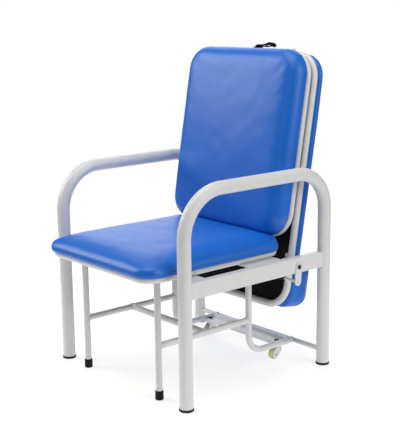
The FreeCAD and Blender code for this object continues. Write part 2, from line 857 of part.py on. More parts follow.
def caster_wheel():
    """The wheel with its bore and eased rims, on its axle line."""
    half = wheel_width / 2
    rim = wheel_radius - wheel_chamfer
    bore = axle_radius + running_gap
    profile = [V(-half, bore, 0), V(-half, rim, 0), V(-half + wheel_chamfer, wheel_radius, 0),
               V(half - wheel_chamfer, wheel_radius, 0), V(half, rim, 0), V(half, bore, 0), V(-half, bore, 0)]
    wheel = Part.Face(Part.makePolygon(profile)).revolve(V(0, 0, 0), ACROSS, 360)
    wheel.translate(V(0, -caster_trail, wheel_radius))
    return wheel


def caster_axle():
    """The riveted axle between the cheeks."""
    reach = wheel_width / 2 + cheek_gap + cheek_thick
    hub = V(0, -caster_trail, wheel_radius)
    return cross_pin(hub, -reach, reach, axle_radius, axle_head_radius, axle_head, True)


def caster_pieces():
    """Both casters, each turned about its own stem."""
    pieces = {}
    for name, side in SIDES.items():
        place = FreeCAD.Placement(V(side * caster_x, bar_y, 0), FreeCAD.Rotation(UP, caster_turn))
        pieces[name + "_caster_fork"] = caster_fork()
        pieces[name + "_caster_axle"] = caster_axle()
        pieces[name + "_caster_wheel"] = caster_wheel()
        for kind in ("fork", "axle", "wheel"):
            piece = pieces[name + "_caster_" + kind]
            piece.Placement = place.multiply(piece.Placement)
    return pieces


def hung(pieces, place, angle):
    """Panel pieces turned from the bed into the chair and hung on their hinge."""
    for piece in pieces.values():
        piece.Placement = FreeCAD.Placement(place, FreeCAD.Rotation(ACROSS, angle)).multiply(piece.Placement)
    return pieces


def rounded(values):
    """Coordinates rounded for printing."""
    return [round(value, 6) for value in values]


def show_places(shift):
    """Print where every joint lies in the finished part."""
    for name, place in (("head pivot", pivot_point), ("apex", apex_point), ("seat hinge", seat_point)):
        print(name, rounded(place + shift))
    spin = FreeCAD.Rotation(UP, caster_turn)
    for name, side in SIDES.items():
        swivel = V(side * caster_x, bar_y, 0) + shift
        hub = swivel + spin.multVec(V(0, -caster_trail, wheel_radius))
        print(name, "swivel", rounded(swivel), "wheel", rounded(hub))
    print("front tip", rounded(V(rail_x, leg_y, 0) + shift))
    print("wheel axis", rounded(spin.multVec(ACROSS)))


def chair():
    """All pieces in the chair, with the origin on the floor under the middle of the part."""
    pieces = arm_pieces()
    pieces.update(hung(head_pieces(), pivot_point, head_turn))
    pieces.update(hung(back_pieces(), apex_point, back_turn))
    pieces.update(seat_pieces())
    pieces.update(caster_pieces())
    box = Part.makeCompound(list(pieces.values())).optimalBoundingBox()
    shift = ALONG * (-(box.YMin + box.YMax) / 2)
    for piece in pieces.values():
        piece.translate(shift)
    show_places(shift)
    print("shift", round(shift.y, 4), "size", rounded((box.XLength, box.YLength, box.ZLength)))
    return pieces


os.makedirs("parts", exist_ok=True)
for node, shape in chair().items():
    shape.exportStep("parts/" + node + ".step")
    print(node, len(shape.Solids), shape.isValid(), round(shape.Volume))
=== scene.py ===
# %% [markdown]
# A folding attendant chair-bed: a white steel armchair whose three blue pads unfold into a bed.
# The steel work is already built as a frame of real parts. This lesson dresses it: it gives every
# surface its finish, makes the pads, the webbing strap and the small moulded pieces, and lights it.

# %% Load the frame
import json
import math

import bmesh
import bpy
from mathutils import Matrix, Vector, noise
from mathutils.bvhtree import BVHTree


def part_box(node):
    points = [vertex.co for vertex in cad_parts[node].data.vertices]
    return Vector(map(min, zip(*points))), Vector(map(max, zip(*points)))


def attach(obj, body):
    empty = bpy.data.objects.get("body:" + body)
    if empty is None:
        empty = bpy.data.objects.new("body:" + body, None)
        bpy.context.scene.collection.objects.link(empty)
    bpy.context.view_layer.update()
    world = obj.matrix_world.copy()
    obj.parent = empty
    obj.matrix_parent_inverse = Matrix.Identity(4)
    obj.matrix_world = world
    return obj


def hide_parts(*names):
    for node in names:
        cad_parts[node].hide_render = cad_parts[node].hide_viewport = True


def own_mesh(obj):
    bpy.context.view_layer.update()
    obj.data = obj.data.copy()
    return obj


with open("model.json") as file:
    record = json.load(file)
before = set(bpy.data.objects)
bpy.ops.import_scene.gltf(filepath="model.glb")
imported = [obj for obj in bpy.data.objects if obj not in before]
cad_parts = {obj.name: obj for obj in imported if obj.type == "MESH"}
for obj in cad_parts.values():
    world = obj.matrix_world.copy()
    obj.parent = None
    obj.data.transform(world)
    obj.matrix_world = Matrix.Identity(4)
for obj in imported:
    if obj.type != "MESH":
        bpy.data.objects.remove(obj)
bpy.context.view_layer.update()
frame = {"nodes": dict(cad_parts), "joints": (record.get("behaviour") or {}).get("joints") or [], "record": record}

MM = 0.001
ACROSS = Vector((1, 0, 0))
ALONG = Vector((0, 1, 0))
UP = Vector((0, 0, 1))
SIDES = {"left": -1, "right": 1}

# %% [markdown]
# The picture is taken from the front right, a little above the seat. A camera can be aimed with a
# Track To constraint, but writing its axes as a matrix also gives the slight roll of a hand-held shot.

# %% Camera
azimuth, elevation, roll = (math.radians(a) for a in (49.566, 11.876, -0.763))
camera_target = Vector((0.2352, -0.1448, 0.5376))
camera_distance = 2.8234
focal_pixels, picture_height = 991.76, 432
sensor = 36.0

back = Vector((math.sin(azimuth) * math.cos(elevation), -math.cos(azimuth) * math.cos(elevation),
               math.sin(elevation)))
level = Vector((math.cos(azimuth), math.sin(azimuth), 0))
over = back.cross(level)
right = level * math.cos(roll) + over * math.sin(roll)
camera_data = bpy.data.cameras.new("Camera")
camera_data.sensor_width = sensor
camera_data.lens = sensor * focal_pixels / picture_height
camera = bpy.data.objects.new("Camera", camera_data)
bpy.context.scene.collection.objects.link(camera)
camera.matrix_world = Matrix.Translation(camera_target + back * camera_distance) @ Matrix(
    (right, back.cross(right), back)).transposed().to_4x4()
bpy.context.scene.camera = camera
print("lens", round(camera_data.lens, 2), "mm")

# %% [markdown]
# A catalogue picture is taken in a white room with large soft lights. One bright lamp would draw hard
# shadows, so wide area lights stand on all sides and above. The room is white to the camera alone and
# dim to everything else, which keeps the vinyl's colour deep between its highlights.

# %% Area lights
window_tint = (1.0, 0.985, 0.955)


def add_light(name, place, aim, size, power):
    """A square area light at a place, turned towards an aim point."""
    data = bpy.data.lights.new(name, "AREA")
    data.size = size
    data.energy = power
    data.color = window_tint
    light = bpy.data.objects.new(name, data)
    light.location = place
    light.rotation_mode = "QUATERNION"
    light.rotation_quaternion = (Vector(aim) - Vector(place)).to_track_quat("-Z", "Y")
    bpy.context.scene.collection.objects.link(light)
    print(name, power, "W")


middle = Vector((0, 0, 0.5))
add_light("left_window", (-2.9, -2.0, 2.4), middle, size=2.2, power=80)
add_light("rear_window", (-2.3, 2.4, 1.8), middle, size=3.0, power=42)
add_light("right_window", (3.0, 0.7, 1.8), middle, size=2.2, power=48)
add_light("front_fill", (1.2, -3.2, 1.9), middle, size=1.8, power=6)
add_light("top_light", (0.1, -0.4, 3.4), middle, size=2.6, power=58)

# %% White room
room_bright, room_dim = 1.0, 0.16
room = bpy.data.worlds.new("white_room")
room.use_nodes = True
room_nodes, room_links = room.node_tree.nodes, room.node_tree.links
seen = room_nodes.new("ShaderNodeMapRange")
seen.inputs["To Min"].default_value = room_dim
seen.inputs["To Max"].default_value = room_bright
room_links.new(room_nodes.new("ShaderNodeLightPath").outputs["Is Camera Ray"], seen.inputs["Value"])
room_links.new(seen.outputs["Result"], room_nodes["Background"].inputs["Strength"])
room_nodes["Background"].inputs["Color"].default_value = (1, 1, 1, 1)
bpy.context.scene.world = room
bpy.context.scene.view_settings.view_transform = "Standard"
print("room", room_dim, "to", room_bright)

# %% [markdown]
# Finishes come next. Each one is a small network: a colour that drifts a little, a roughness that
# drifts with it, and a fine bump. The drift and the grain are shared, so they are node groups.

# %% Node helpers


def new_group(name, inputs, outputs):
    """An empty shader group with named float or colour sockets."""
    group = bpy.data.node_groups.new(name, "ShaderNodeTree")
    for socket, kind, value in inputs:
        made = group.interface.new_socket(name=socket, in_out="INPUT", socket_type=kind)
        made.default_value = value
    for socket, kind in outputs:
        group.interface.new_socket(name=socket, in_out="OUTPUT", socket_type=kind)
    return group, group.nodes.new("NodeGroupInput"), group.nodes.new("NodeGroupOutput")


def feed(tree, socket, value):
    """Link a socket to another one, or set it to a plain value."""
    if isinstance(value, bpy.types.NodeSocket):
        tree.links.new(value, socket)
    else:
        socket.default_value = value


def noise_node(tree, scale, detail, source, roughness=0.5):
    """A noise texture on the object's own coordinates."""
    node = tree.nodes.new("ShaderNodeTexNoise")
    node.inputs["Detail"].default_value = detail
    node.inputs["Roughness"].default_value = roughness
    feed(tree, node.inputs["Scale"], scale)
    tree.links.new(source, node.inputs["Vector"])
    return node


def math_node(tree, operation, first, second=0.0):
    """A math node whose inputs are sockets or numbers."""
    node = tree.nodes.new("ShaderNodeMath")
    node.operation = operation
    feed(tree, node.inputs[0], first)
    feed(tree, node.inputs[1], second)
    return node.outputs[0]


def colour_mix(tree, factor, first, second, blend="MIX"):
    """A colour mix whose inputs are sockets or colours."""
    node = tree.nodes.new("ShaderNodeMix")
    node.data_type = "RGBA"
    node.blend_type = blend
    for index, value in ((0, factor), (6, first), (7, second)):
        feed(tree, node.inputs[index], value)
    return node.outputs[2]


# %% Drift group
fine_scale = 9.0
broad_share, fine_share = 0.7, 0.3


def drift_group():
    """Slow change of colour and roughness over a surface, as handling and light dust leave it."""
    group, given, result = new_group(
        "surface_drift",
        [("Light", "NodeSocketColor", (1, 1, 1, 1)), ("Dark", "NodeSocketColor", (0, 0, 0, 1)),
         ("Scale", "NodeSocketFloat", 6.0), ("Rough", "NodeSocketFloat", 0.4),
         ("Spread", "NodeSocketFloat", 0.1)],
        [("Color", "NodeSocketColor"), ("Roughness", "NodeSocketFloat")])
    place = group.nodes.new("ShaderNodeTexCoord").outputs["Object"]
    broad = noise_node(group, given.outputs["Scale"], 3.0, place)
    finer = math_node(group, "MULTIPLY", given.outputs["Scale"], fine_scale)
    fine = noise_node(group, finer, 5.0, place)
    blend = math_node(group, "ADD", math_node(group, "MULTIPLY", broad.outputs["Fac"], broad_share),
                      math_node(group, "MULTIPLY", fine.outputs["Fac"], fine_share))
    group.links.new(colour_mix(group, blend, given.outputs["Dark"], given.outputs["Light"]),
                    result.inputs["Color"])
    swing = math_node(group, "MULTIPLY", math_node(group, "SUBTRACT", fine.outputs["Fac"], 0.5),
                      given.outputs["Spread"])
    group.links.new(math_node(group, "ADD", given.outputs["Rough"], swing), result.inputs["Roughness"])
    return group


# %% Grain group


def grain_group():
    """Fine height pattern: rounded cells for leather-like grain, noise for sprayed or moulded skin."""
    group, given, result = new_group(
        "fine_grain",
        [("Scale", "NodeSocketFloat", 600.0), ("Cells", "NodeSocketFloat", 0.5)],
        [("Height", "NodeSocketFloat")])
    place = group.nodes.new("ShaderNodeTexCoord").outputs["Object"]
    cells = group.nodes.new("ShaderNodeTexVoronoi")
    cells.feature = "SMOOTH_F1"
    group.links.new(given.outputs["Scale"], cells.inputs["Scale"])
    group.links.new(place, cells.inputs["Vector"])
    soft = noise_node(group, given.outputs["Scale"], 2.0, place)
    share = math_node(group, "SUBTRACT", 1.0, given.outputs["Cells"])
    pebbled = math_node(group, "MULTIPLY", cells.outputs["Distance"], given.outputs["Cells"])
    sprayed = math_node(group, "MULTIPLY", soft.outputs["Fac"], share)
    group.links.new(math_node(group, "ADD", pebbled, sprayed), result.inputs["Height"])
    return group


# %% Scuff group
mark_scale, mark_floor, mark_gain = 45.0, 0.48, 5.0


def scuff_group():
    """A mask of soft marks that gathers near the floor, where shoes and mops reach the paint."""
    group, given, result = new_group(
        "floor_scuffs", [("Height", "NodeSocketFloat", 0.25), ("Amount", "NodeSocketFloat", 0.5)],
        [("Mask", "NodeSocketFloat")])
    place = group.nodes.new("ShaderNodeTexCoord").outputs["Object"]
    split = group.nodes.new("ShaderNodeSeparateXYZ")
    group.links.new(place, split.inputs[0])
    rise = math_node(group, "DIVIDE", split.outputs["Z"], given.outputs["Height"])
    low = math_node(group, "MAXIMUM", math_node(group, "SUBTRACT", 1.0, rise), 0.0)
    marks = noise_node(group, mark_scale, 6.0, place, 0.7)
    marks = math_node(group, "SUBTRACT", marks.outputs["Fac"], mark_floor)
    marks = math_node(group, "MAXIMUM", marks, 0.0)
    marks = math_node(group, "MULTIPLY", math_node(group, "MULTIPLY", marks, mark_gain), low)
    group.links.new(math_node(group, "MULTIPLY", marks, given.outputs["Amount"]), result.inputs["Mask"])
    return group


surface_drift, fine_grain, floor_scuffs = drift_group(), grain_group(), scuff_group()
print("groups", surface_drift.name, fine_grain.name, floor_scuffs.name)

# %% Finish maker
scuff_shade, scuff_rough = 0.55, 0.25


def add_group(tree, group, **values):
    """A group node in a material, with some of its inputs set."""
    node = tree.nodes.new("ShaderNodeGroup")
    node.node_tree = group
    for socket, value in values.items():
        feed(tree, node.inputs[socket], value)
    return node


def finish(name, light, dark, rough, spread=0.1, drift=6.0, grain=600.0, cells=0.0, bump=0.05,
           depth=0.0002, scuff=0.0, **fixed):
    """A procedural finish: drifting colour and roughness, fine bump, and plain values on the shader."""
    made = bpy.data.materials.new(name)
    made.use_nodes = True
    tree = made.node_tree
    shader = tree.nodes["Principled BSDF"]
    tone = add_group(tree, surface_drift, Light=(*light, 1), Dark=(*dark, 1), Scale=drift, Rough=rough,
                     Spread=spread)
    colour, roughness = tone.outputs["Color"], tone.outputs["Roughness"]
    if scuff:
        mask = add_group(tree, floor_scuffs, Amount=scuff).outputs["Mask"]
        colour = colour_mix(tree, mask, colour, (*(scuff_shade * value for value in dark), 1))
        roughness = math_node(tree, "ADD", roughness, math_node(tree, "MULTIPLY", mask, scuff_rough))
    skin = add_group(tree, fine_grain, Scale=grain, Cells=cells)
    relief = tree.nodes.new("ShaderNodeBump")
    relief.inputs["Strength"].default_value = bump
    relief.inputs["Distance"].default_value = depth
    tree.links.new(skin.outputs["Height"], relief.inputs["Height"])
    tree.links.new(colour, shader.inputs["Base Color"])
    tree.links.new(roughness, shader.inputs["Roughness"])
    tree.links.new(relief.outputs["Normal"], shader.inputs["Normal"])
    for socket, value in fixed.items():
        shader.inputs[socket.replace("_", " ")].default_value = value
    return made


# %% Paint and vinyl
powder_coat = finish("white_powder_coat", (0.71, 0.715, 0.72), (0.665, 0.67, 0.675), rough=0.36,
                     spread=0.12, drift=5.0, grain=900.0, bump=0.12, scuff=0.2,
                     Coat_Weight=0.12, Coat_Roughness=0.25)
weld_paint = finish("weld_paint", (0.68, 0.685, 0.69), (0.60, 0.605, 0.61), rough=0.40,
                    spread=0.15, drift=60.0, grain=700.0, bump=0.35)
caster_paint = finish("caster_paint", (0.74, 0.74, 0.73), (0.64, 0.64, 0.63), rough=0.4,
                      spread=0.15, drift=30.0, grain=1400.0, bump=0.15)
blue_vinyl = finish("blue_vinyl", (0.003, 0.140, 0.615), (0.002, 0.124, 0.560), rough=0.38,
                    spread=0.10, drift=4.0, grain=850.0, cells=0.8, bump=0.2, depth=0.0004,
                    Specular_IOR_Level=0.5)

# %% Board, plastic and rubber
black_board = finish("black_board", (0.0045, 0.0045, 0.005), (0.002, 0.002, 0.002), rough=0.75,
                     spread=0.2, drift=8.0, grain=380.0, bump=0.25, Specular_IOR_Level=0.15)
black_plastic = finish("black_plastic", (0.008, 0.008, 0.009), (0.004, 0.004, 0.004), rough=0.48,
                       spread=0.15, drift=20.0, grain=1200.0, bump=0.2, Specular_IOR_Level=0.3)
black_rubber = finish("black_rubber", (0.008, 0.008, 0.008), (0.004, 0.004, 0.004), rough=0.70,
                      spread=0.15, drift=25.0, grain=900.0, bump=0.3, Specular_IOR_Level=0.25)
tread = finish("tread_polyurethane", (0.66, 0.70, 0.34), (0.56, 0.60, 0.27), rough=0.34,
               spread=0.1, drift=40.0, grain=900.0, bump=0.1, Subsurface_Weight=0.2)
hub_plastic = finish("hub_plastic", (0.72, 0.72, 0.70), (0.64, 0.64, 0.62), rough=0.42,
                     spread=0.1, drift=40.0, grain=900.0, bump=0.1)

# %% Bare steel
zinc_steel = finish("zinc_steel", (0.62, 0.63, 0.64), (0.48, 0.49, 0.51), rough=0.34,
                    spread=0.2, drift=40.0, grain=2000.0, bump=0.1, Metallic=1.0)
# On the pivot bolt heads this dark colour is partly painted shade: it stands in for the shade inside each socket,
# which is too small to show as a dark spot by itself.
dark_steel = finish("dark_steel", (0.060, 0.060, 0.066), (0.035, 0.035, 0.038), rough=0.36,
                    spread=0.2, drift=40.0, grain=2000.0, bump=0.1, Metallic=1.0)
print(len(bpy.data.materials), "materials so far")

# %% [markdown]
# The strap's weave runs along its own length, so that finish reads the strap's UV map: a few ribs side by
# side over the width, crossed by many fine picks along the length.

# %% Webbing finish
weave_across, weave_along = 11.0, 150.0
weave_bump, weave_depth = 0.7, 0.0006


def webbing_finish():
    """Black woven webbing, with its ribs laid out on the strap's own UV map."""
    made = finish("black_webbing", (0.006, 0.006, 0.007), (0.003, 0.003, 0.003), rough=0.8,
                  spread=0.15, drift=60.0, Specular_IOR_Level=0.2)
    tree = made.node_tree
    split = tree.nodes.new("ShaderNodeSeparateXYZ")
    tree.links.new(tree.nodes.new("ShaderNodeTexCoord").outputs["UV"], split.inputs[0])
    turn = 2 * math.pi
    ribs = math_node(tree, "SINE", math_node(tree, "MULTIPLY", split.outputs["Y"], turn * weave_across))
    picks = math_node(tree, "SINE", math_node(tree, "MULTIPLY", split.outputs["X"], turn * weave_along))
    woven = math_node(tree, "ADD", ribs, math_node(tree, "MULTIPLY", ribs, picks))
    relief = tree.nodes["Bump"]
    relief.inputs["Strength"].default_value = weave_bump
    relief.inputs["Distance"].default_value = weave_depth
    tree.links.new(woven, relief.inputs["Height"])
    return made


webbing = webbing_finish()
slot_finish = {"frame_paint": powder_coat, "blue_vinyl": blue_vinyl, "black_board": black_board,
               "black_plastic": black_plastic, "black_rubber": black_rubber, "black_webbing": webbing,
               "zinc_steel": zinc_steel, "dark_steel": dark_steel, "caster_white": caster_paint,
               "caster_tread": tread}
print(len(slot_finish), "slots have a finish")

# %% [markdown]
# The record lists which slot each piece of the frame takes its finish from. A loop over that list
# dresses the whole frame, so a piece added later gets its paint without another line here.

# %% Dress the steel
for part in frame["record"]["subparts"]:
    node = frame["nodes"][part["node"]]
    node.data.materials.clear()
    node.data.materials.append(slot_finish[part["material_slot"]])
print(len(frame["nodes"]), "nodes dressed")

# %% [markdown]
# The floor only catches soft shadows. A round floor whose alpha fades out shows no horizon, where a
# large plane would draw a line behind the chair.

# %% Floor
floor_radius, floor_fade = 2.6, 1.1


def floor_finish():
    """Pale floor that fades out towards its rim."""
    made = finish("pale_floor", (0.55, 0.55, 0.55), (0.54, 0.54, 0.54), rough=0.7, spread=0.05,
                  drift=0.4, grain=60.0, bump=0.02, Emission_Color=(1, 1, 1, 1), Emission_Strength=0.6)
    tree = made.node_tree
    reach = tree.nodes.new("ShaderNodeVectorMath")
    reach.operation = "LENGTH"
    tree.links.new(tree.nodes.new("ShaderNodeTexCoord").outputs["Object"], reach.inputs[0])
    rim = tree.nodes.new("ShaderNodeMapRange")
    rim.interpolation_type = "SMOOTHERSTEP"
    for socket, value in (("From Min", floor_fade), ("From Max", floor_radius),
                          ("To Min", 1.0), ("To Max", 0.0)):
        rim.inputs[socket].default_value = value
    tree.links.new(reach.outputs["Value"], rim.inputs["Value"])
    tree.links.new(rim.outputs["Result"], tree.nodes["Principled BSDF"].inputs["Alpha"])
    return made


floor_mesh = bmesh.new()
bmesh.ops.create_circle(floor_mesh, cap_ends=True, segments=96, radius=floor_radius)
floor_data = bpy.data.meshes.new("floor")
floor_mesh.to_mesh(floor_data)
floor_mesh.free()
floor_data.materials.append(floor_finish())
floor = bpy.data.objects.new("floor", floor_data)
bpy.context.scene.collection.objects.link(floor)
print("floor", 2 * floor_radius, "m across")

# %% [markdown]
# Every new piece ends the same way: its mesh becomes an object at the origin, takes a finish, rides on
# a body of the frame and stands for the plain nodes that it replaces.

# %% Piece helpers
smooth_limit = math.radians(38)


def make_piece(name, mesh, material, body, slot, *nodes):
    """Turn a finished bmesh into an object that rides on a body and stands for frame nodes."""
    data = bpy.data.meshes.new(name)
    mesh.to_mesh(data)
    mesh.free()
    data.materials.append(material)
    data.shade_smooth()
    data.set_sharp_from_angle(angle=smooth_limit)
    piece = bpy.data.objects.new(name, data)
    bpy.context.scene.collection.objects.link(piece)
    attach(piece, body)
    if nodes:
        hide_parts(*nodes)
    print(name, len(data.polygons), "faces")
    return piece


def add_shape(target, shape, place):
    """Move a small shape to its place and add it to a larger mesh."""
    shape.transform(place)
    data = bpy.data.meshes.new("shape")
    shape.to_mesh(data)
    shape.free()
    target.from_mesh(data)
    bpy.data.meshes.remove(data)


def middle_of(node):
    """The middle of a frame node's box."""
    low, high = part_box(node)
    return (Vector(low) + Vector(high)) / 2


def half_of(node):
    """Half the size of a frame node's box."""
    low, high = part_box(node)
    return (Vector(high) - Vector(low)) / 2


# %% [markdown]
# The pads are drawn as they lie when the chair is a bed, because there every pad is level. The hinges
# of the frame say where each panel turns and how far, so one matrix per panel stands it up into the chair.

# %% Panel places
joints = {joint["name"]: joint for joint in frame["joints"]}


def panel_place(joint, angle):
    """The matrix that takes a lying panel into the chair, about its hinge."""
    hinge = Vector(joints[joint]["pos_m"])
    return Matrix.Translation(hinge) @ Matrix.Rotation(math.radians(angle), 4, "X")


head_place = panel_place("head_fold", -joints["head_fold"]["range_deg"][1])
back_place = panel_place("apex_fold", joints["seat_fold"]["range_deg"][1])
seat_place = panel_place("seat_fold", 0)


def corners_of(points):
    """Lowest and highest corner of the box round some points."""
    columns = list(zip(*points))
    return Vector(min(column) for column in columns), Vector(max(column) for column in columns)


def lying_box(node, place):
    """Lowest and highest corner of a node, measured on its panel as it lies in the bed."""
    lay = place.inverted()
    return corners_of([lay @ vertex.co for vertex in frame["nodes"][node].data.vertices])


# %% [markdown]
# A pad is foam on a board under a tight vinyl cover. It starts as a slab with rounded corners, a rolled
# top edge and a foot that tucks in. A voxel remesh gives it an even skin, and its middle is raised into a
# crown. A short cloth simulation with air pressure then draws the skin as foam does, and the result is
# fitted to the pad's room in the frame. Sculpting would look as good, but it could not be repeated.

# %% Pad blank
roll_steps, foot_steps = 8, 4
hair = 1e-6


def straight_edges(mesh, test):
    """The edges of a mesh whose two ends both pass a test."""
    return [edge for edge in mesh.edges if all(test(vertex.co) for vertex in edge.verts)]


def rounded(mesh, edges, radius, steps):
    """Round some edges of a mesh."""
    bmesh.ops.bevel(mesh, geom=edges, offset=radius, affect="EDGES", segments=steps, profile=0.5,
                    material=-1)


def pad_blank(low, high, corners, roll, foot):
    """A slab between two corners, with plan corners for each end, a rolled top and an eased foot."""
    mesh = bmesh.new()
    bmesh.ops.create_cube(mesh, size=1)
    bmesh.ops.scale(mesh, vec=high - low, verts=mesh.verts)
    bmesh.ops.translate(mesh, vec=(low + high) / 2, verts=mesh.verts)
    for end, corner in zip((low.y, high.y), corners):
        posts = [edge for edge in straight_edges(mesh, lambda co: abs(co.y - end) < hair)
                 if abs(edge.verts[0].co.x - edge.verts[1].co.x) < hair]
        rounded(mesh, posts, corner, roll_steps)
    rounded(mesh, straight_edges(mesh, lambda co: abs(co.z - high.z) < hair), roll, roll_steps)
    rounded(mesh, straight_edges(mesh, lambda co: abs(co.z - low.z) < hair), foot, foot_steps)
    return mesh


# %% Even skin
smooth_rounds = 4


def even_skin(mesh, voxel):
    """The same form as one closed skin of even faces, with the voxel steps smoothed out."""
    data = bpy.data.meshes.new("blank")
    mesh.to_mesh(data)
    mesh.free()
    holder = bpy.data.objects.new("blank", data)
    bpy.context.scene.collection.objects.link(holder)
    remesh = holder.modifiers.new("skin", "REMESH")
    remesh.mode = "VOXEL"
    remesh.voxel_size = voxel
    skin = bpy.data.meshes.new_from_object(holder.evaluated_get(bpy.context.evaluated_depsgraph_get()))
    bpy.data.objects.remove(holder)
    bpy.data.meshes.remove(data)
    smoother = bmesh.new()
    smoother.from_mesh(skin)
    for _ in range(smooth_rounds):
        bmesh.ops.smooth_vert(smoother, verts=smoother.verts, factor=0.5, use_axis_x=True,
                              use_axis_y=True, use_axis_z=True)
    smoother.to_mesh(skin)
    smoother.free()
    return skin


# %% Swell
swell_frames = 20


def swell(skin, held_below, pressure, cap):
    """Blow a skin up by cloth simulation, with its underside held and each point's travel limited."""
    holder = bpy.data.objects.new("swelling", skin)
    bpy.context.scene.collection.objects.link(holder)
    held = holder.vertex_groups.new(name="held")
    held.add([v.index for v in skin.vertices if v.co.z < held_below], 1.0, "REPLACE")
    cloth = holder.modifiers.new("swell", "CLOTH")
    cloth.settings.use_pressure = True
    cloth.settings.uniform_pressure_force = pressure
    cloth.settings.vertex_group_mass = held.name
    cloth.settings.effector_weights.gravity = 0
    cloth.settings.quality = 4
    cloth.collision_settings.use_collision = False
    cloth.point_cache.frame_end = swell_frames
    for step in range(1, swell_frames + 1):
        bpy.context.scene.frame_set(step)
    moved = holder.evaluated_get(bpy.context.evaluated_depsgraph_get()).data
    for vertex, target in zip(skin.vertices, moved.vertices):
        step = target.co - vertex.co
        if step.length > 0:
            vertex.co += step * (cap * math.tanh(step.length / cap) / step.length)
    bpy.data.objects.remove(holder)
    bpy.context.scene.frame_set(1)


# %% Crown


def crowned(skin, low, high, crown, power, rear_drop):
    """Raise the middle of a skin over its edges. A rear drop below 1 keeps the rear edge up as well."""
    centre, half = (low + high) / 2, (high - low) / 2
    for vertex in skin.vertices:
        share = (vertex.co.z - low.z) / (high.z - low.z)
        across = min(1, abs(vertex.co.x - centre.x) / half.x)
        along = max(-1, min(1, (vertex.co.y - centre.y) / half.y))
        fall = abs(along) ** power * (rear_drop if along > 0 else 1)
        vertex.co.z += crown * share * (1 - across ** power) * (1 - fall)


# %% Gathers and fit
gather_count = 18
gather_depth = 0.7 * MM
gather_start, gather_top = 0.6, 0.7
waves = ((9, 1.5 * MM), (22, 0.6 * MM))


def gathered(skin, low, high, corners):
    """Fine gathers low on the corners, where the cover is folded round, and slow waves in the cover."""
    centre, half = (low + high) / 2, (high - low) / 2
    for vertex in skin.vertices:
        rise = (vertex.co.z - low.z) / (high.z - low.z)
        vertex.co.z += rise * sum(depth * noise.noise(vertex.co * count) for count, depth in waves)
        corner = corners[0] if vertex.co.y < centre.y else corners[1]
        reach = Vector((abs(vertex.co.x - centre.x) - half.x + corner,
                        abs(vertex.co.y - centre.y) - half.y + corner))
        if reach.x <= 0 or reach.y <= 0 or reach.length < gather_start * corner:
            continue
        turn = math.atan2(reach.y, reach.x)
        share = max(0, 1 - rise / gather_top)
        depth = gather_depth * share * math.sin(2 * turn) * (0.5 + 0.5 * math.cos(turn * gather_count))
        inward = Vector((centre.x - vertex.co.x, centre.y - vertex.co.y, 0)).normalized()
        vertex.co += inward * depth


def fitted(skin, low, high):
    """Stretch a skin to the room that its pad has, by a few per cent at most."""
    least, most = corners_of([vertex.co for vertex in skin.vertices])
    for vertex in skin.vertices:
        for i in range(3):
            share = (vertex.co[i] - least[i]) / (most[i] - least[i])
            vertex.co[i] = low[i] + (high[i] - low[i]) * share


# %% Pad maker
voxel_size = 6 * MM
swell_pressure = 4.0
swell_cap = 1.2 * MM
pad_foot = 4 * MM


def make_pad(name, node, place, body, corners, roll, crown, power=3.0, rear_drop=1, shaped=None,
             foot=pad_foot, proud=0.0):
    """A pad in the room of its node or a little proud of it, from its blank to its place in the chair."""
    low, high = lying_box(node, place)
    high.z += proud
    spare = Vector((swell_cap, swell_cap, 0)) / 2
    top = high - spare - Vector((0, 0, crown))
    skin = even_skin(pad_blank(low + spare, top, corners, roll, foot), voxel_size)
    crowned(skin, low + spare, top, crown, power, rear_drop)
    swell(skin, low.z + foot, swell_pressure, swell_cap)
    fitted(skin, low, high)
    gathered(skin, low, high, corners)
    if shaped:
        shaped(skin)
    mesh = bmesh.new()
    mesh.from_mesh(skin)
    bpy.data.meshes.remove(skin)
    mesh.transform(place)
    pad = make_piece(name, mesh, blue_vinyl, body, "blue_vinyl", node)
    finer = pad.modifiers.new("finer", "SUBSURF")
    finer.levels = finer.render_levels = 1
    return pad


# %% [markdown]
# The back pad is the thickest, with a wide soft roll all round. The head pad behind it is thin, and
# ends at the pillow, a firm bolster that lies lowest while the chair stands folded.

# %% Back, head and pillow pads
back_pad = make_pad("back_pad", "back_cushion", back_place, "back_panel", corners=(78 * MM, 78 * MM),
                    roll=42 * MM, crown=10 * MM, power=2.3, foot=10 * MM, proud=7 * MM)
make_pad("head_pad", "head_cushion", head_place, "head_panel", corners=(78 * MM, 22 * MM),
         roll=16 * MM, crown=4 * MM, foot=2 * MM, proud=3 * MM)
make_pad("pillow_pad", "head_pillow", head_place, "head_panel", corners=(40 * MM, 46 * MM),
         roll=34 * MM, crown=8 * MM, proud=3 * MM)

# %% [markdown]
# The seat pad hangs a lip over the front and side tubes, and its rear edge is pressed down under the
# back pad. The lip follows the tube by lifting the skin out of it. The press is found by looking straight
# up from the seat to the back pad's underside, which a BVH tree answers quickly.

# %% Seat tube distance
seat_loop_corner = 46 * MM
rear_open = 60 * MM
frame_low, frame_high = lying_box("seat_frame", seat_place)
tube_radius = (frame_high.z - frame_low.z) / 2


def loop_distance(point):
    """How far a point lies outside the seat tube's centre line, seen from above."""
    low = frame_low + Vector((tube_radius, tube_radius, 0))
    high = frame_high - Vector((tube_radius, -rear_open, 0))
    half = (high - low) / 2
    reach = [abs(point[i] - (low[i] + high[i]) / 2) - half[i] + seat_loop_corner for i in range(2)]
    outside = math.hypot(max(reach[0], 0), max(reach[1], 0))
    return outside + min(max(reach), 0) - seat_loop_corner


# %% Seat pad
tube_clear, board_clear, press_clear = 0.6 * MM, 0.3 * MM, 0.8 * MM


